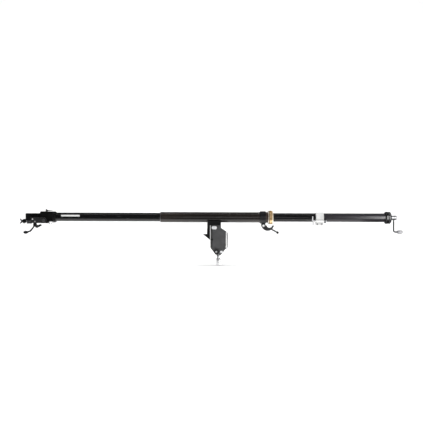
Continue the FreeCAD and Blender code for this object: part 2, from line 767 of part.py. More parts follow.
def gearbox_cover():
    body = box((-1031.4, -992.6), (22.0 + FIT, HOUSING_Y - 0.2), (-35.4, 14.9))
    tools = [rod_y(TILT, (20.0, 30.0), TILT_SHAFT_R + RUN)]
    for place in COVER_SCREWS:
        tools.append(rod_y(place, (20.0, 30.0), COVER_SCREW_R + FIT))
        tools.append(rod_y(place, (25.5, 30.0), COVER_HEAD_R + 0.1))
    return without(body, *tools)


def cap_screws():
    """Socket screws of the gearbox cover and of the joint collar."""
    solids = []
    for place in COVER_SCREWS:
        head = rod_y(place, (25.6, 27.8), COVER_HEAD_R).cut(hexagon_y(place, (26.8, 28.0), 2.0))
        solids.append(joined(head, rod_y(place, (13.0, 25.7), COVER_SCREW_R)))
    for place in COLLAR_SCREWS:
        head = rod_y(place, (-15.0, -11.0 - FIT), 4.2).cut(hexagon_y(place, (-15.1, -13.0), 3.0))
        solids.append(joined(head, rod_y(place, (-11.1, 11.0), COLLAR_SCREW_R)))
    return Part.makeCompound(solids)


def housing_collar():
    low, high = HOUSING_X[1] + 0.1, -945.0
    ring = turned_x([
        (low, TUBE_R),
        (low, 31.0),
        (high - 2.0, 31.0),
        (high, 29.0),
        (high, TUBE_R),
    ])
    body = joined(ring, ring_lug(SMALL_RING_X, -18.0))
    return body.cut(rod_x((low - 1.0, high + 1.0), 0, 0, TUBE_R + FIT))


def head_stop_bar():
    """Bar that the lamp socket rests against when the head is level."""
    bar = box((-1084.4, HOUSING_X[0] - FIT), (-12.0, 12.0), (-3.0, 21.0))
    bar = rounded(bar, 2.5, lambda edge: runs_along(edge, V(1, 0, 0)))
    for x in (-1076.0, -1061.0, -1046.0):
        for side in ((-13.0, -9.5), (9.5, 13.0)):
            bar = bar.cut(box((x - 4.5, x + 4.5), side, (2.0, 16.0)))
    return bar


def ring_lug(x, root):
    """Small lug on the front that a safety ring hangs from."""
    y, z = RING_HINGE
    lug = box((x - 1.8, x + 1.8), (y - 3.6, root), (z - 3.6, z + 3.6))
    return lug.cut(rod_x((x - 4.0, x + 4.0), y, z, 2.1))


def hanging_ring(x, mean_radius, wire_radius):
    y, z = RING_HINGE
    return Part.makeTorus(mean_radius, wire_radius, V(x, y, z - mean_radius), V(0, 1, 0))


def tube_lock_latch():
    """Thumb latch on top of the housing: pointed fin and thin tail on a short stud."""
    fin = prism_y([
        (-1006.0, 35.0), (-1006.5, 41.0), (-1004.5, 47.0), (-996.0, 40.5), (-967.0, 38.5), (-967.0, 36.0),
        (-996.0, 35.0),
    ], (-3.0, 3.0))
    hub = rod_z(LATCH_X, 0, (HOUSING_TOP + 0.2, 37.5), 6.0)
    stud = rod_z(LATCH_X, 0, (23.0, 34.0), 3.0)
    return joined(fin, hub, stud)


# ---- crank and drive ----------------------------------------------------------------------
def drive_shaft():
    thick = rod_x((-998.0, 1034.0), 0, 0, SHAFT_R)
    thin = rod_x((-1030.8, -997.0), 0, 0, SHAFT_STEP_R)
    return joined(thick, thin)


def worm():
    """Worm with its thread drawn as grooves between crests."""
    low, high = CAVITY_X[0] + 1.2, CAVITY_X[1] - 1.2
    pitch = 3.6
    profile = [(low, SHAFT_STEP_R + FIT), (low, 5.4)]
    x = low + 1.5
    while x + pitch < high:
        profile += [(x, 5.4), (x + 1.0, WORM_R), (x + 2.0, WORM_R), (x + 3.0, 5.4)]
        x += pitch
    profile += [(high, 5.4), (high, SHAFT_STEP_R + FIT)]
    return turned_x(profile)


def crank_hub():
    low, high = HUB_X
    body = turned_x([
        (low, 0),
        (low, HUB_R - 1.0),
        (low + 1.0, HUB_R),
        (high - 1.5, HUB_R),
        (high, HUB_R - 1.5),
        (high, 0),
    ])
    return without(body, rod_x((low - 1.0, 1034.2), 0, 0, SHAFT_R + FIT),
                   rod_z(CRANK_ARM_X, 0, (-HUB_R - 2.0, -7.0), CRANK_ARM_R + FIT))


def crank_arm():
    """Bent rod; its far leg is the axle of the knob."""
    end = KNOB_X[1] + 0.2
    points = [V(CRANK_ARM_X, 0, -7.2), V(CRANK_ARM_X, 0, -CRANK_REACH), V(end, 0, -CRANK_REACH)]
    cap = rod_x((end, end + 2.4), 0, -CRANK_REACH, 5.6)
    return joined(bent_rod(points, CRANK_ARM_R, 10.0), cap)


def crank_knob():
    """Metal grip with a tapered neck and three shallow finger grooves."""
    low, high = KNOB_X
    bore = CRANK_ARM_R + RUN
    profile = [(low, bore), (low, 5.4), (low + 7.0, 6.2), (low + 9.5, 8.4), (low + 12.0, 9.2)]
    for groove in (low + 16.0, low + 20.0, low + 24.0):
        profile += [(groove - 0.8, 9.3), (groove - 0.4, 8.7), (groove + 0.4, 8.7), (groove + 0.8, 9.3)]
    profile += [(high - 2.2, 9.2), (high, 7.6), (high, bore)]
    return turned_x(profile, 0, -CRANK_REACH)


# ---- lamp head ----------------------------------------------------------------------------
def worm_wheel():
    root = WHEEL_R - 1.9
    outline = []
    for tooth in range(WHEEL_TEETH):
        for share, radius in ((0.0, root), (0.25, root), (0.4, WHEEL_R), (0.62, WHEEL_R), (0.77, root)):
            turn = 2.0 * math.pi * (tooth + share) / WHEEL_TEETH
            outline.append((TILT[0] + radius * math.cos(turn), TILT[1] + radius * math.sin(turn)))
    wheel = prism_y(outline, (-6.0, 6.0))
    hub = joined(rod_y(TILT, (-21.0, -6.0), 9.6), rod_y(TILT, (6.0, 21.0), 9.6))
    return joined(wheel, hub).cut(rod_y(TILT, (-25.0, 25.0), TILT_SHAFT_R + FIT))


def tilt_shaft():
    """Shaft that the wheel and the yoke turn with; its ends are domed."""
    shaft = rod_y(TILT, (-38.0, 38.0), TILT_SHAFT_R)
    cap = rod_y(TILT, (-40.0, -YOKE_Y[1] - FIT), 9.0)
    cap = rounded(cap, 1.5, lambda edge: edge.BoundBox.YMax < -39.9)
    return joined(shaft, cap, cap.mirror(V(0, 0, 0), V(0, 1, 0)))


def tilt_yoke():
    """Fork: two cheeks beside the gearbox and a cross-piece that holds the socket's stub."""
    low, high = YOKE_X
    side = (-YOKE_Y[1], -YOKE_Y[0])
    half = (CHEEK_Z[1] - CHEEK_Z[0]) / 2.0
    cheek = joined(box((low, TILT[0]), side, CHEEK_Z), rod_y((TILT[0], CHEEK_Z[0] + half), side, half))
    cross = box((low, high), (-YOKE_Y[1], YOKE_Y[1]), YOKE_Z)
    body = joined(cross, cheek, cheek.mirror(V(0, 0, 0), V(0, 1, 0)))
    tools = [rod_y(TILT, (-50.0, 50.0), TILT_SHAFT_R + FIT)]
    tools.append(rod_x((low - 1.0, high + 1.0), 0, TILT[1], SWIVEL_R + RUN))
    tools.append(rod_z(RATCHET_X, 0, (-40.0, -26.0), 4.0 + RUN))
    return without(body, *tools)


def socket_liner():
    """Lamp spigot socket; its bore opens downwards."""
    body = rod_z(SOCKET_X, 0, (-40.0, 14.0), SOCKET_LINER_R)
    body = body.cut(rod_z(SOCKET_X, 0, (-41.0, 10.0), SOCKET_BORE_R))
    stub_seat = rod_x((STUB_X[0] - 0.05, -1080.0), 0, TILT[1], SWIVEL_R + FIT)
    return without(body, stub_seat, rod_x((-1125.0, SOCKET_X), 0, WING_Z, 4.0 + RUN))


def swivel_stub():
    """Stub of the socket that turns in the yoke."""
    stub = rod_x(STUB_X, 0, TILT[1], SWIVEL_R)
    return rounded(stub, 1.0, lambda edge: edge.BoundBox.XMin > STUB_X[1] - 0.1)


def socket_block():
    body = box((-1120.0, -1086.0), (-20.0, 20.0), (-21.0, 21.0))
    body = rounded(body, 5.0, lambda edge: edge.BoundBox.XMax < -1119.0)
    return without(body, rod_z(SOCKET_X, 0, (-25.0, 14.0 + FIT), SOCKET_LINER_R + FIT),
                   rod_x((SOCKET_X, -1080.0), 0, TILT[1], SWIVEL_R + FIT),
                   box((SOCKET_X, -1080.0), (-SWIVEL_R - FIT, SWIVEL_R + FIT), (-25.0, TILT[1])))


def wing_key():
    """Butterfly key, hub and screw that pinch the lamp spigot."""
    z = WING_Z
    wings = prism_y([
        (-1141.0, z + 5.5), (-1155.5, z + 15.5), (-1158.0, z + 12.5), (-1148.5, z),
        (-1158.0, z - 12.5), (-1155.5, z - 15.5), (-1141.0, z - 5.5),
    ], (-3.5, 3.5))
    hub = turned_x([
        (-1143.0, 0), (-1143.0, 6.0), (-1138.0, 10.5), (-1136.0, 13.5), (-1126.0, 13.5), (-1122.5, 8.0),
        (-1121.5, 8.0), (-1121.5, 0),
    ], 0, z)
    screw = rod_x((-1122.0, -1110.6), 0, z, 4.0)
    return joined(wings, hub, screw)


def ratchet_lever():
    """Clamp lever: hub on a vertical screw, S-shaped arm with a bulb, short tail."""
    hub = turned_z([
        (0, -56.0), (8.5, -56.0), (10.5, -53.0), (10.5, -42.0), (9.0, -36.5), (0, -36.5),
    ], RATCHET_X)
    arm = bent_rod([V(RATCHET_X, 0, -49.0), V(-1096.0, 0, -83.5), V(-1122.0, 0, -90.0)], 4.6, 22.0)
    bulb = turned_x([
        (-1110.0, 0), (-1110.0, 4.4), (-1114.0, 6.8), (-1119.5, 8.6), (-1125.0, 9.0), (-1131.0, 7.6),
        (-1135.0, 5.0), (-1136.0, 2.0), (-1136.0, 0),
    ], 0, -89.8)
    tail = prism_y([
        (-1066.0, -62.0), (-1056.0, -65.0), (-1029.0, -50.5),
        (-1034.0, -43.0), (-1050.0, -48.0), (-1064.0, -46.0),
    ], (-6.0, 6.0))
    screw = rod_z(RATCHET_X, 0, (-37.0, -30.5), 4.0)
    lever = joined(hub, arm, bulb, tail, screw)
    lever.rotate(V(RATCHET_X, 0, 0), V(0, 0, 1), RATCHET_TURN)
    return lever


# ---- write every node ---------------------------------------------------------------------
def nodes():
    front = side_plate()
    return {
        "bracket_front_plate": front,
        "bracket_rear_plate": front.mirror(V(0, 0, 0), V(0, 1, 0)),
        "bracket_back_strap": back_strap(),
        "bracket_foot_block": foot_block(),
        "stand_spigot": stand_spigot(),
        "plate_screws": plate_screws(),
        "pinch_bolt": pinch_bolt(),
        "pivot_pin": pivot_pin(),
        "pivot_nut": pivot_nut(),
        "brake_pin": brake_pin(),
        "brake_spring": brake_spring(),
        "spigot_lock_knob": lock_knob(),
        "brake_lever": brake_lever(),
        "brake_pad": brake_pad(),
        "saddle": saddle(),
        "pivot_bushes": pivot_bushes(),
        "brake_sector": brake_sector(),
        "saddle_screws": saddle_screws(),
        "sleeve_tube": sleeve(),
        "sleeve_front_bush": front_bush(),
        "sleeve_end_bush": end_bush(),
        "clamp_collar": clamp_collar(),
        "clamp_pin": clamp_pin(),
        "cam_lever": cam_lever(),
        "cam_lever_rod": cam_rod(),
        "cam_lever_ball": cam_ball(),
        "index_ring": index_ring(),
        "key_screw": key_screw(),
        "boom_tube": boom_tube(),
        "label_strip": label_strip(),
        "rear_tube": rear_tube(),
        "tube_joiner": tube_joiner(),
        "joint_collar": joint_collar(),
        "lock_rod": lock_rod(),
        "keeper_tab": keeper_tab(),
        "stop_pin": stop_pin(),
        "shaft_bearings": shaft_bearings(),
        "end_cap_flange": end_cap_flange(),
        "end_cap_dome": end_cap_dome(),
        "gearbox_housing": gearbox_housing(),
        "gearbox_cover": gearbox_cover(),
        "cap_screws": cap_screws(),
        "housing_collar": housing_collar(),
        "head_stop_bar": head_stop_bar(),
        "safety_ring_large": hanging_ring(LARGE_RING_X, 9.6, 1.4),
        "safety_ring_small": hanging_ring(SMALL_RING_X, 6.4, 1.2),
        "tube_lock_latch": tube_lock_latch(),
        "drive_shaft": drive_shaft(),
        "worm": worm(),
        "crank_hub": crank_hub(),
        "crank_arm": crank_arm(),
        "crank_knob": crank_knob(),
        "worm_wheel": worm_wheel(),
        "tilt_shaft": tilt_shaft(),
        "tilt_yoke": tilt_yoke(),
        "socket_liner": socket_liner(),
        "swivel_stub": swivel_stub(),
        "socket_block": socket_block(),
        "wing_key": wing_key(),
        "ratchet_lever": ratchet_lever(),
    }


os.makedirs("parts", exist_ok=True)
for name, shape in nodes().items():
    lifted = shape.copy()
    lifted.translate(V(0, 0, BOOM_HEIGHT))
    lifted.exportStep("parts/" + name + ".step")
    print(name, len(lifted.Solids), round(lifted.Volume), lifted.isValid())
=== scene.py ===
import json
import math

import bmesh
import bpy
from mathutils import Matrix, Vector


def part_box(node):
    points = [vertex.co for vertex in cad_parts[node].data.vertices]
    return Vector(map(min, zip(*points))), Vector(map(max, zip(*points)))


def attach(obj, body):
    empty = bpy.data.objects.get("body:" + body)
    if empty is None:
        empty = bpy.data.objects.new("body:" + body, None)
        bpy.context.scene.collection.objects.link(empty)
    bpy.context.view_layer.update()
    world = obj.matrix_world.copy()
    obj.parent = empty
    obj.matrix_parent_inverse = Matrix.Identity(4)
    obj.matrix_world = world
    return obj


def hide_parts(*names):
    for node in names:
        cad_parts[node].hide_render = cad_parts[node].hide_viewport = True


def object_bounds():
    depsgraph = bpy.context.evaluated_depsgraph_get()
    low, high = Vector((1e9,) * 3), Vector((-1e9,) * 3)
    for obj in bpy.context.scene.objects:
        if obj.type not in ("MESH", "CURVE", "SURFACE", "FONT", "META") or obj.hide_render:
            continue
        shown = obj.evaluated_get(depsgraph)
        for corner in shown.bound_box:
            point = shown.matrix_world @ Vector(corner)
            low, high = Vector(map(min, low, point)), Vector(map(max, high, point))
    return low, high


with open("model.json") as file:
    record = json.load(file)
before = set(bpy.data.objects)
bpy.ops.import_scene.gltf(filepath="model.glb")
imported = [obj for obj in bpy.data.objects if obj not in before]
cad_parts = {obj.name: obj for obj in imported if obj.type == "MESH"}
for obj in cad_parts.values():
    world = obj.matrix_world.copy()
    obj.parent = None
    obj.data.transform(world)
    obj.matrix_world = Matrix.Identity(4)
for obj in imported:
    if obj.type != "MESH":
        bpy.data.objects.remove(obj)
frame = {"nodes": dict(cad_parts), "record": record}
CAD_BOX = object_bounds()

# Cranked telescopic boom arm. Metres, in the CAD's frame: X along the boom, -Y the front, Z up.
BOOM_Z = 0.243
BARE = (0.5, 0.5, 0.5)
# Colour of the strip of painted shade on the bracket's plates.
STRIP_SHADE = (0.006, 0.006, 0.006)

# Strip of painted shade down the bracket's plates, where a narrow recess would lie in shade: x from, x to, z
# from, z to.
PLATE_SHADE_STRIP = (-0.0425, -0.0345, 0.070, 0.1975)
SHADE_STRIP_EDGE = 0.0006

# Painted light round the index ring: a pale band of painted highlight on each rim and a dark band of painted
# shade in the groove by the left rim: x from, x to, softness, colour.
RING_LIGHT_BANDS = (
    (0.2890, 0.2930, 0.0004, (0.95, 0.88, 0.76)),
    (0.2934, 0.2966, 0.0004, (0.16, 0.08, 0.03)),
    (0.3120, 0.3185, 0.0012, (0.95, 0.86, 0.72)),
)

BUMP_DEPTH = 0.0006
COAT_ROUGHNESS = 0.12
BEVEL_SAMPLES = 4

CAMERA_PLACE = (-0.0402, -4.178, BOOM_Z + 0.0337)
CAMERA_ROLL = -0.165
CAMERA_LENS = 61.0
SENSOR_WIDTH = 36.0


# ---- shader helpers -----------------------------------------------------------------------
def node(tree, kind, settings=(), **inputs):
    """Adds a node; settings are its own attributes, inputs its sockets (a value or a socket)."""
    made = tree.nodes.new(kind)
    for key, value in dict(settings).items():
        setattr(made, key, value)
    for key, value in inputs.items():
        numbered = key[0] == "i" and key[1:].isdigit()
        socket = made.inputs[int(key[1:])] if numbered else made.inputs[key]
        fill(tree, socket, value)
    return made


def fill(tree, socket, value):
    """Links another node's socket, or sets a plain value."""
    if isinstance(value, bpy.types.NodeSocket):
        tree.links.new(value, socket)
    else:
        socket.default_value = value


def maths(tree, operation, a, b=0.0, clamp=False):
    made = node(tree, "ShaderNodeMath", {"operation": operation, "use_clamp": clamp}, i0=a, i1=b)
    return made.outputs[0]


def times(tree, *factors):
    """Product of two or more sockets or numbers."""
    product = factors[0]
    for factor in factors[1:]:
        product = maths(tree, "MULTIPLY", product, factor)
    return product


def ramp(tree, value, low, high, to_low=0.0, to_high=1.0):
    """Smooth step: to_low at low and under, to_high at high and over."""
    made = node(tree, "ShaderNodeMapRange", {"clamp": True, "interpolation_type": "SMOOTHSTEP"}, Value=value)
    made.inputs["From Min"].default_value = low
    made.inputs["From Max"].default_value = high
    made.inputs["To Min"].default_value = to_low
    made.inputs["To Max"].default_value = to_high
    return made.outputs[0]


def fall(tree, value, low, high):
    """One below low, zero above high."""
    return ramp(tree, value, low, high, 1.0, 0.0)


def between(tree, value, low, high, edge):
    """One between low and high, zero outside, with the soft edges inside."""
    return times(tree, ramp(tree, value, low, low + edge), fall(tree, value, high - edge, high))


def mix(tree, factor, a, b):
    made = node(tree, "ShaderNodeMix", {"data_type": "RGBA"})
    for socket, value in ((made.inputs[0], factor), (made.inputs[6], a), (made.inputs[7], b)):
        fill(tree, socket, value)
    return made.outputs[2]


def noise(tree, place, scale, detail=4.0, roughness=0.55):
    made = node(tree, "ShaderNodeTexNoise", Vector=place, Scale=scale, Detail=detail, Roughness=roughness)
    return made.outputs[0]


def rgba(colour):
    return (colour[0], colour[1], colour[2], 1.0)


def brighter(colour, factor, lift):
    """The colour scaled and lifted, no channel above one."""
    return rgba([min(1.0, c * factor + lift) for c in colour])


# ---- layers of a finish ---------------------------------------------------------------------
def worn_edges(tree, base, rounded, plain, place, wear, tint):
    """Bare patches where the rounded normal leaves the plain one."""
    facing = node(tree, "ShaderNodeVectorMath", {"operation": "DOT_PRODUCT"}, i0=rounded, i1=plain)
    turned = maths(tree, "SUBTRACT", 1.0, facing.outputs["Value"], True)
    patches = noise(tree, place, 160.0, 4.0, 0.7)
    worn = maths(tree, "MULTIPLY", ramp(tree, turned, 0.02, 0.16), ramp(tree, patches, 0.38, 0.62), True)
    return mix(tree, maths(tree, "MULTIPLY", worn, wear, True), base, tint)


def painted_bevel_highlights(tree, base, plain, tone, left, right):
    """Painted highlights on faces that slant about 45 degrees to the left or to the right, dimmer on the left
    slants than on the right ones.
    """
    across = node(tree, "ShaderNodeSeparateXYZ", Vector=plain).outputs[0]
    sideways = maths(tree, "ABSOLUTE", across)
    slanted = times(tree, ramp(tree, sideways, 0.5, 0.6), fall(tree, sideways, 0.85, 0.9))
    bright = mix(tree, ramp(tree, across, -0.1, 0.1), rgba(left), rgba(right))
    bright = mix(tree, ramp(tree, tone, 0.35, 0.7, 0.0, 0.35), bright, rgba(left))
    return mix(tree, slanted, base, bright)


def painted_light_band(tree, base, place, tone, low, high, soft, tint):
    """A band of painted light round a turned piece, between two places along X: painted highlight where the
    colour is pale, painted shade where it is dark.
    """
    along_x = node(tree, "ShaderNodeSeparateXYZ", Vector=place).outputs[0]
    inside = times(tree, ramp(tree, along_x, low - soft, low + soft),
                   fall(tree, along_x, high - soft, high + soft),
                   ramp(tree, tone, 0.2, 0.55, 0.6, 1.0))
    return mix(tree, inside, base, rgba(tint))


def painted_shade_strip(tree, base, place, shade_strip):
    """A strip of painted shade, as in a narrow recess: x from, x to, z from, z to."""
    x_from, x_to, z_from, z_to = shade_strip
    split = node(tree, "ShaderNodeSeparateXYZ", Vector=place)
    inside = times(tree, between(tree, split.outputs[0], x_from, x_to, SHADE_STRIP_EDGE),
                   between(tree, split.outputs[2], z_from, z_to, SHADE_STRIP_EDGE))
    return mix(tree, inside, base, rgba(STRIP_SHADE))


def scuff_marks(tree, place, amount):
    """Thin marks along the boom, where one tube slides in the other."""
    thin = node(tree, "ShaderNodeMapping", Vector=place, Scale=(14.0, 420.0, 420.0)).outputs[0]
    marks = ramp(tree, noise(tree, thin, 1.0, 2.0, 0.8), 0.66, 0.74)
    return maths(tree, "MULTIPLY", marks, amount, True)


def surface(name, colour, metallic=0.0, rough=0.4, vary=0.2, patch=18.0, grain=900.0, relief=0.05,
            streak=(1.0, 1.0, 1.0), edge=None, edge_width=0.0007, wear=0.5, coat=0.0, specular=0.5,
            second=None, scuffs=0.0, bevel_highlights=None, shade_strip=None, light_bands=()):
    """A finish with tone patches, grain, scuffs and worn, softly rounded edges; it can add painted highlights
    on slanted faces, a band of painted light round a turned piece and a strip of painted shade.
    """
    material = bpy.data.materials.new(name)
    material.use_nodes = True
    tree = material.node_tree
    tree.nodes.clear()
    out = node(tree, "ShaderNodeOutputMaterial")
    shader = node(tree, "ShaderNodeBsdfPrincipled", Metallic=metallic)
    shader.inputs["Coat Weight"].default_value = coat
    shader.inputs["Coat Roughness"].default_value = COAT_ROUGHNESS
    shader.inputs["Specular IOR Level"].default_value = specular
    tree.links.new(shader.outputs[0], out.inputs[0])

    place = node(tree, "ShaderNodeTexCoord").outputs["Object"]
    along = node(tree, "ShaderNodeMapping", Vector=place, Scale=streak).outputs[0]
    tone = noise(tree, along, patch, 5.0)
    fine = noise(tree, along, grain, 3.0, 0.6)
    rounded = node(tree, "ShaderNodeBevel", {"samples": BEVEL_SAMPLES}, Radius=edge_width).outputs[0]
    plain = node(tree, "ShaderNodeNewGeometry").outputs["Normal"]

    dark = rgba([c * (1.0 - vary) for c in colour])
    light = brighter(second or colour, 1.0 + vary, 0.0)
    base = mix(tree, ramp(tree, tone, 0.32, 0.68), dark, light)
    base = mix(tree, ramp(tree, fine, 0.3, 0.7, 0.0, 0.35), base, dark)
    worn_tint = rgba(edge) if edge else brighter(colour, 2.2, 0.04)
    base = worn_edges(tree, base, rounded, plain, place, wear, worn_tint)
    # Painted highlights on the slanted faces.
    if bevel_highlights:
        base = painted_bevel_highlights(tree, base, plain, tone, *bevel_highlights)
    # Band of painted highlight and painted shade round turned pieces.
    for band in light_bands:
        base = painted_light_band(tree, base, place, tone, *band)
    # Strip of painted shade.
    if shade_strip:
        base = painted_shade_strip(tree, base, place, shade_strip)

    roughness = ramp(tree, fine, 0.25, 0.75, rough * 0.85, min(1.0, rough * 1.2))
    roughness = maths(tree, "MULTIPLY", roughness, ramp(tree, tone, 0.2, 0.8, 0.88, 1.12))
    if scuffs:
        marks = scuff_marks(tree, place, scuffs)
        base = mix(tree, marks, base, rgba(edge) if edge else brighter(colour, 3.0, 0.05))
        roughness = maths(tree, "ADD", roughness, maths(tree, "MULTIPLY", marks, 0.25), True)

    height = maths(tree, "ADD", fine, maths(tree, "MULTIPLY", tone, 0.6))
    bump = node(tree, "ShaderNodeBump", Strength=relief, Distance=BUMP_DEPTH, Height=height, Normal=rounded)
    tree.links.new(base, shader.inputs["Base Color"])
    tree.links.new(roughness, shader.inputs["Roughness"])
    tree.links.new(bump.outputs[0], shader.inputs["Normal"])
    return material


FINISH = {
    "black_paint": surface(
        "black_paint", (0.006, 0.006, 0.0065), rough=0.42, specular=0.25, vary=0.35, patch=30.0, grain=1400.0,
        relief=0.35, edge=(0.2, 0.2, 0.2), wear=0.35),
    "sleeve_black": surface(
        "sleeve_black", (0.014, 0.0118, 0.0108), rough=0.22, specular=0.4, vary=0.25, patch=6.0, grain=700.0,
        relief=0.06, streak=(0.25, 1.0, 1.0), edge=BARE, wear=0.5, scuffs=0.12, coat=0.15,
        second=(0.024, 0.019, 0.016)),
    "tube_black": surface(
        "tube_black", (0.0055, 0.0055, 0.006), rough=0.2, specular=0.35, vary=0.3, patch=6.0, grain=800.0,
        relief=0.05, streak=(0.2, 1.0, 1.0), edge=BARE, wear=0.5, scuffs=0.2, coat=0.25),
    "gloss_black": surface(
        "gloss_black", (0.012, 0.0105, 0.0135), rough=0.3, vary=0.3, patch=5.0, grain=700.0,
        relief=0.02, streak=(0.2, 1.0, 1.0), edge=BARE, wear=0.4, scuffs=0.06, coat=0.1),
    "strap_paint": surface(
        "strap_paint", (0.2, 0.2, 0.205), rough=0.45, vary=0.2, patch=22.0, grain=1300.0,
        relief=0.3, edge=(0.6, 0.6, 0.6), wear=0.7),
    "bright_steel": surface(
        "bright_steel", (0.7, 0.7, 0.71), metallic=0.3, rough=0.3, vary=0.06, patch=90.0,
        relief=0.06, edge=(0.95, 0.95, 0.95), wear=0.5),
    "dark_steel": surface(
        "dark_steel", (0.16, 0.16, 0.165), metallic=0.8, rough=0.34, vary=0.35, patch=140.0,
        relief=0.15, edge=(0.8, 0.8, 0.8), wear=0.8),
    "worn_casting": surface(
        "worn_casting", (0.022, 0.022, 0.023), rough=0.4, vary=0.5, patch=110.0, grain=1100.0,
        relief=0.5, edge=(0.6, 0.6, 0.6), wear=0.9),
    "grey_paint": surface(
        "grey_paint", (0.058, 0.058, 0.061), rough=0.45, vary=0.18, patch=22.0, grain=1300.0,
        relief=0.3, edge=(0.45, 0.45, 0.46), wear=0.6),
    # The plate's slanted faces carry painted highlights and a strip of painted shade.
    "plate_paint": surface(
        "plate_paint", (0.057, 0.057, 0.059), rough=0.5, vary=0.18, patch=22.0, grain=1500.0,
        relief=0.35, edge=(0.4, 0.4, 0.4), wear=0.3, bevel_highlights=((0.4, 0.4, 0.4), (0.72, 0.72, 0.71)),
        shade_strip=PLATE_SHADE_STRIP),
    "dome_paint": surface(
        "dome_paint", (0.028, 0.028, 0.03), rough=0.3, vary=0.25, patch=30.0, grain=1200.0,
        relief=0.2, edge=(0.3, 0.3, 0.3), wear=0.6, coat=0.3),
    "black_oxide": surface(
        "black_oxide", (0.03, 0.03, 0.031), metallic=0.6, rough=0.4, vary=0.2, patch=60.0,
        relief=0.15, edge=(0.3, 0.3, 0.3), wear=0.3),
    "white_paint": surface(
        "white_paint", (0.58, 0.58, 0.575), rough=0.38, vary=0.12, patch=26.0, grain=900.0,
        relief=0.12, edge=(0.45, 0.44, 0.42), wear=0.35),
    "aluminium": surface(
        "aluminium", (0.42, 0.42, 0.43), metallic=1.0, rough=0.36, vary=0.14, patch=24.0,
        grain=600.0, relief=0.12, streak=(1.0, 1.0, 9.0), edge=(0.75, 0.75, 0.76), wear=0.5),
    "hub_metal": surface(
        "hub_metal", (0.3, 0.3, 0.31), metallic=0.85, rough=0.36, vary=0.16, patch=24.0,
        grain=600.0, relief=0.1, streak=(9.0, 1.0, 1.0), edge=(0.7, 0.7, 0.7), wear=0.5),
    "chrome": surface(
        "chrome", (0.6, 0.6, 0.61), metallic=1.0, rough=0.2, vary=0.06, patch=40.0, grain=700.0,
        relief=0.03, edge=(0.85, 0.85, 0.86), wear=0.3, scuffs=0.15),
    "steel": surface(
        "steel", (0.36, 0.36, 0.37), metallic=1.0, rough=0.3, vary=0.16, patch=50.0, grain=900.0,
        relief=0.08, edge=(0.7, 0.7, 0.71), wear=0.4),
    "collar_black": surface(
        "collar_black", (0.006, 0.0065, 0.0085), rough=0.36, vary=0.4, patch=60.0, grain=1100.0,
        relief=0.4, edge=(0.2, 0.2, 0.22), wear=0.5),
    # The index ring carries painted highlights on its rims and painted shade in a groove.
    "gold": surface(
        "gold", (0.62, 0.36, 0.13), metallic=0.7, rough=0.3, vary=0.22, patch=55.0, grain=800.0,
        relief=0.12, edge=(0.98, 0.88, 0.68), wear=0.9, second=(0.8, 0.6, 0.34), light_bands=RING_LIGHT_BANDS),
    "bronze": surface(
        "bronze", (0.42, 0.27, 0.11), metallic=1.0, rough=0.35, vary=0.2, patch=40.0, relief=0.1),
    "brown_bush": surface(
        "brown_bush", (0.05, 0.031, 0.024), rough=0.5, vary=0.25, patch=60.0, relief=0.2),
    "black_plastic": surface(
        "black_plastic", (0.006, 0.006, 0.0065), rough=0.42, specular=0.3, vary=0.25, patch=60.0,
        grain=1800.0, relief=0.45, edge=(0.09, 0.09, 0.09), wear=0.4),
    "nylon": surface(
        "nylon", (0.6, 0.59, 0.55), rough=0.5, vary=0.08, patch=50.0, relief=0.1),
    "label": surface(
        "label", (0.86, 0.86, 0.85), rough=0.45, vary=0.05, patch=60.0, grain=1200.0, relief=0.08,
        edge=(0.4, 0.4, 0.4), wear=0.2),
    "brake_lining": surface(
        "brake_lining", (0.06, 0.045, 0.035), rough=0.8, vary=0.3, patch=120.0, relief=0.5),
}

# The finish of each CAD node.
LOOKS = {
    "bracket_front_plate": "plate_paint", "bracket_rear_plate": "plate_paint",
    "bracket_back_strap": "strap_paint", "bracket_foot_block": "black_paint", "stand_spigot": "chrome",
    "plate_screws": "grey_paint", "pinch_bolt": "bright_steel", "pivot_pin": "bright_steel",
    "pivot_nut": "steel", "brake_pin": "black_paint", "brake_spring": "steel",
    "spigot_lock_knob": "black_plastic", "brake_lever": "black_paint", "brake_pad": "brake_lining",
    "saddle": "black_paint", "pivot_bushes": "bronze", "brake_sector": "steel", "saddle_screws": "steel",
    "sleeve_tube": "sleeve_black", "sleeve_front_bush": "dark_steel", "sleeve_end_bush": "brown_bush",
    "clamp_collar": "collar_black", "clamp_pin": "bright_steel", "cam_lever": "worn_casting",
    "cam_lever_rod": "black_oxide", "cam_lever_ball": "black_plastic", "index_ring": "gold",
    "key_screw": "steel", "boom_tube": "tube_black", "label_strip": "label", "rear_tube": "gloss_black",
    "tube_joiner": "aluminium", "joint_collar": "white_paint", "lock_rod": "bright_steel",
    "keeper_tab": "steel", "stop_pin": "steel", "shaft_bearings": "nylon", "end_cap_flange": "tube_black",
    "end_cap_dome": "dome_paint", "gearbox_housing": "black_paint", "gearbox_cover": "aluminium",
    "cap_screws": "steel", "housing_collar": "black_paint", "head_stop_bar": "black_paint",
    "swivel_stub": "steel", "safety_ring_large": "steel", "safety_ring_small": "steel",
    "tube_lock_latch": "black_plastic", "drive_shaft": "steel", "worm": "bronze",
    "crank_hub": "hub_metal", "crank_arm": "black_paint", "crank_knob": "hub_metal",
    "worm_wheel": "bronze", "tilt_shaft": "dark_steel", "tilt_yoke": "worn_casting",
    "socket_liner": "dark_steel", "socket_block": "black_paint", "wing_key": "black_plastic",
    "ratchet_lever": "black_plastic",
}

BODY_OF = {name: body for body, names in frame["record"]["behaviour"]["bodies"].items() for name in names}


def dress_cad_nodes():
    """Puts the finish on the objects, so that the CAD's meshes stay as they are."""
    for name, obj in frame["nodes"].items():
        if len(obj.material_slots):
            for held in obj.material_slots:
                held.link = "OBJECT"
                held.material = FINISH[LOOKS[name]]
        else:
            obj.data.materials.append(FINISH[LOOKS[name]])


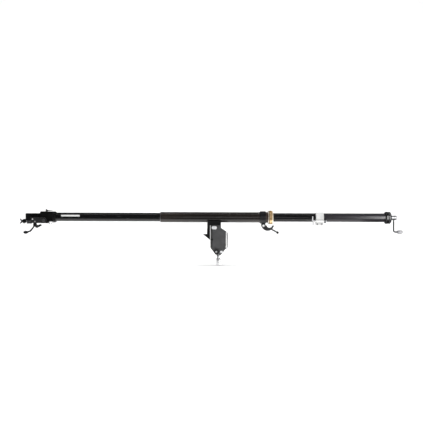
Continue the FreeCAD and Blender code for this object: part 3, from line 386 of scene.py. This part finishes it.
# ---- castings and mouldings ---------------------------------------------------------------
# CAD node: voxel size, smoothing passes, name of the softened copy.
SOFT = {
    "ratchet_lever": (0.0009, 6, "lever_moulding"),
    "wing_key": (0.0008, 4, "wing_key_moulding"),
    "cam_lever": (0.0009, 4, "cam_lever_casting"),
    "tube_lock_latch": (0.0006, 4, "thumb_latch_moulding"),
    "brake_lever": (0.0010, 4, "brake_lever_casting"),
    "saddle": (0.0012, 3, "saddle_casting"),
    "clamp_collar": (0.0010, 3, "clamp_collar_casting"),
    "gearbox_housing": (0.0011, 3, "gearbox_casting"),
    "socket_block": (0.0010, 3, "socket_casting"),
    "spigot_lock_knob": (0.0008, 4, "lobed_knob"),
    "tilt_yoke": (0.0010, 2, "yoke_casting"),
    "keeper_tab": (0.0006, 3, "keeper_tab_plate"),
}
WELD_DISTANCE = 0.00001


def apply_modifiers(obj):
    """Keeps the evaluated mesh and drops the modifiers."""
    graph = bpy.context.evaluated_depsgraph_get()
    mesh = bpy.data.meshes.new_from_object(obj.evaluated_get(graph))
    obj.modifiers.clear()
    obj.data = mesh


def softened(name, voxel, passes, piece):
    """A cast or moulded copy of a CAD node: evenly meshed, with soft edges."""
    source = frame["nodes"][name]
    copy = bpy.data.objects.new(piece, source.data.copy())
    bpy.context.scene.collection.objects.link(copy)
    weld = copy.modifiers.new("weld", "WELD")
    weld.merge_threshold = WELD_DISTANCE
    remesh = copy.modifiers.new("remesh", "REMESH")
    remesh.mode = "VOXEL"
    remesh.voxel_size = voxel
    remesh.use_smooth_shade = True
    smooth = copy.modifiers.new("smooth", "SMOOTH")
    smooth.factor = 0.5
    smooth.iterations = passes
    apply_modifiers(copy)
    for polygon in copy.data.polygons:
        polygon.use_smooth = True
    copy.data.materials.clear()
    copy.data.materials.append(FINISH[LOOKS[name]])
    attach(copy, BODY_OF[name])
    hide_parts(name)


# ---- small turned pieces that the CAD leaves plain ------------------------------------------
SIDES = 64
HEXAGON_SECTOR = math.pi / 3.0


def reach(radius, turn, hexagon):
    """Distance from the axis to the outline: a circle, or a hexagon within the given radius."""
    if not hexagon or radius > hexagon:
        return radius
    corner = (turn % HEXAGON_SECTOR) - HEXAGON_SECTOR / 2.0
    return radius * math.cos(HEXAGON_SECTOR / 2.0) / math.cos(corner)


def lathe_y(piece, body, finish, place, profile, hexagon=0.0):
    """Turned piece about a -Y axis at (x, z); profile is (distance to the front from y, radius)."""
    x, y, z = place
    shape = bmesh.new()
    rows = []
    for forward, radius in profile:
        row = []
        for step in range(SIDES):
            turn = 2.0 * math.pi * step / SIDES
            out = reach(radius, turn, hexagon)
            row.append(shape.verts.new((x + out * math.cos(turn), y - forward, z + out * math.sin(turn))))
        rows.append(row)
    for low, high in zip(rows, rows[1:]):
        for step in range(SIDES):
            after = (step + 1) % SIDES
            shape.faces.new((low[step], low[after], high[after], high[step])).smooth = True
    shape.faces.new(rows[0][::-1])
    shape.faces.new(rows[-1])
    bmesh.ops.recalc_face_normals(shape, faces=shape.faces)
    mesh = bpy.data.meshes.new(piece)
    shape.to_mesh(mesh)
    shape.free()
    obj = bpy.data.objects.new(piece, mesh)
    bpy.context.scene.collection.objects.link(obj)
    mesh.materials.append(FINISH[finish])
    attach(obj, body)


def yoke_screw(piece, x, z, radius, stands):
    """Round screw head with a hexagon socket, on the front face of the yoke."""
    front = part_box("tilt_yoke")[0].y
    profile = [
        (-0.0002, radius * 0.9), (0.0, radius), (stands * 0.7, radius), (stands, radius * 0.82),
        (stands, radius * 0.5), (stands * 0.25, radius * 0.5), (stands * 0.25, radius * 0.1),
    ]
    lathe_y(piece, BODY_OF["tilt_yoke"], "bright_steel", (x, front, z), profile, hexagon=radius * 0.5)


def knob_stud():
    """End of the knob's threaded stud, with a centre dimple."""
    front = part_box("spigot_lock_knob")[0].y
    profile = [
        (-0.0010, 0.0050), (0.0000, 0.0050), (0.0003, 0.0045),
        (0.0003, 0.0030), (-0.0004, 0.0026), (-0.0004, 0.0004),
    ]
    lathe_y("knob_stud_end", BODY_OF["spigot_lock_knob"], "bright_steel",
            (-0.0120, front, BOOM_Z - 0.1985), profile)


dress_cad_nodes()
for name, (voxel, passes, piece) in SOFT.items():
    softened(name, voxel, passes, piece)
yoke_screw("yoke_screw_upper", -1.0745, BOOM_Z - 0.0135, 0.0042, 0.0018)
yoke_screw("yoke_screw_lower", -1.0600, BOOM_Z - 0.0275, 0.0034, 0.0016)
knob_stud()


# ---- floor, light and camera --------------------------------------------------------------
FLOOR_Z = CAD_BOX[0].z
FLOOR_FRONT = -7.0
WALL_FOOT = 3.0
WALL_BEND = 2.0
WALL_TOP = 7.0
BEND_STEPS = 12
HALF_WIDTH = 9.0


def backdrop_material():
    """Matt and nearly white, with a faint change of tone."""
    material = bpy.data.materials.new("studio_floor")
    material.use_nodes = True
    tree = material.node_tree
    shader = tree.nodes["Principled BSDF"]
    place = node(tree, "ShaderNodeTexCoord").outputs["Object"]
    tone = noise(tree, place, 1.5, 3.0)
    colour = mix(tree, tone, rgba((0.93, 0.93, 0.93)), rgba((0.96, 0.96, 0.96)))
    tree.links.new(colour, shader.inputs["Base Color"])
    shader.inputs["Roughness"].default_value = 0.9
    shader.inputs["Specular IOR Level"].default_value = 0.1
    return material


def backdrop():
    """One sheet: flat floor that curves up into a wall far behind."""
    profile = [(FLOOR_FRONT, FLOOR_Z), (WALL_FOOT, FLOOR_Z)]
    for step in range(1, BEND_STEPS + 1):
        turn = math.radians(90.0 * step / BEND_STEPS)
        back = WALL_FOOT + WALL_BEND * math.sin(turn)
        profile.append((back, FLOOR_Z + WALL_BEND - WALL_BEND * math.cos(turn)))
    profile.append((WALL_FOOT + WALL_BEND, WALL_TOP))
    mesh = bpy.data.meshes.new("studio_floor")
    shape = bmesh.new()
    rows = [[shape.verts.new((x, y, z)) for y, z in profile] for x in (-HALF_WIDTH, HALF_WIDTH)]
    for a, b, c, d in zip(rows[0], rows[0][1:], rows[1][1:], rows[1]):
        shape.faces.new((a, d, c, b)).smooth = True
    shape.to_mesh(mesh)
    shape.free()
    obj = bpy.data.objects.new("studio_floor", mesh)
    bpy.context.scene.collection.objects.link(obj)
    mesh.materials.append(backdrop_material())
    obj.visible_glossy = False


def area_light(name, place, target, size, power, mirrored=True):
    """Rectangular light; without mirrored it lights surfaces but no gloss shows it."""
    light = bpy.data.lights.new(name, "AREA")
    light.shape = "RECTANGLE"
    light.size, light.size_y = size
    light.energy = power
    obj = bpy.data.objects.new(name, light)
    bpy.context.scene.collection.objects.link(obj)
    obj.visible_camera = False
    obj.visible_glossy = mirrored
    obj.location = place
    obj.rotation_euler = (Vector(target) - Vector(place)).to_track_quat("-Z", "Y").to_euler()


def studio():
    """Backdrop, faint sky and the lights."""
    backdrop()
    world = bpy.data.worlds.new("studio")
    world.use_nodes = True
    sky = world.node_tree.nodes["Background"]
    sky.inputs["Color"].default_value = (0.9, 0.93, 1.0, 1.0)
    sky.inputs["Strength"].default_value = 0.02
    bpy.context.scene.world = world
    # Place, target, size, power. The mirrored ones show as highlights along the tubes.
    area_light("top_strip", (0.0, -0.14, 2.2), (0.0, 0.0, BOOM_Z), (4.6, 0.12), 11.0)
    area_light("under_light", (-0.45, 0.04, -0.0355), (-0.45, 0.04, 1.0), (2.7, 0.62), 8.3)
    area_light("wall_light", (0.0, 1.6, 3.2), (0.0, 5.0, 1.5), (11.0, 1.2), 230.0, False)
    area_light("front_card", (0.25, -3.4, 0.3), (0.25, 0.0, 0.3), (1.3, 0.5), 6.0)
    area_light("right_card", (1.30, -0.95, 0.30), (1.30, 0.0, 0.30), (0.36, 1.3), 15.0)
    area_light("floor_light", (0.0, 0.4, 2.6), (0.0, 0.4, -0.04), (6.0, 3.6), 150.0, False)
    area_light("floor_light_front", (0.0, -2.4, 1.2), (0.0, -2.4, -0.04), (4.0, 1.2), 20.0, False)


def camera():
    """Level camera in front of the boom, with a slight roll."""
    data = bpy.data.cameras.new("camera")
    data.lens = CAMERA_LENS
    data.sensor_width = SENSOR_WIDTH
    obj = bpy.data.objects.new("camera", data)
    bpy.context.scene.collection.objects.link(obj)
    obj.location = CAMERA_PLACE
    obj.rotation_euler = (math.radians(90.0), math.radians(CAMERA_ROLL), 0.0)
    bpy.context.scene.camera = obj


studio()
camera()
bpy.context.scene.view_settings.view_transform = "Standard"
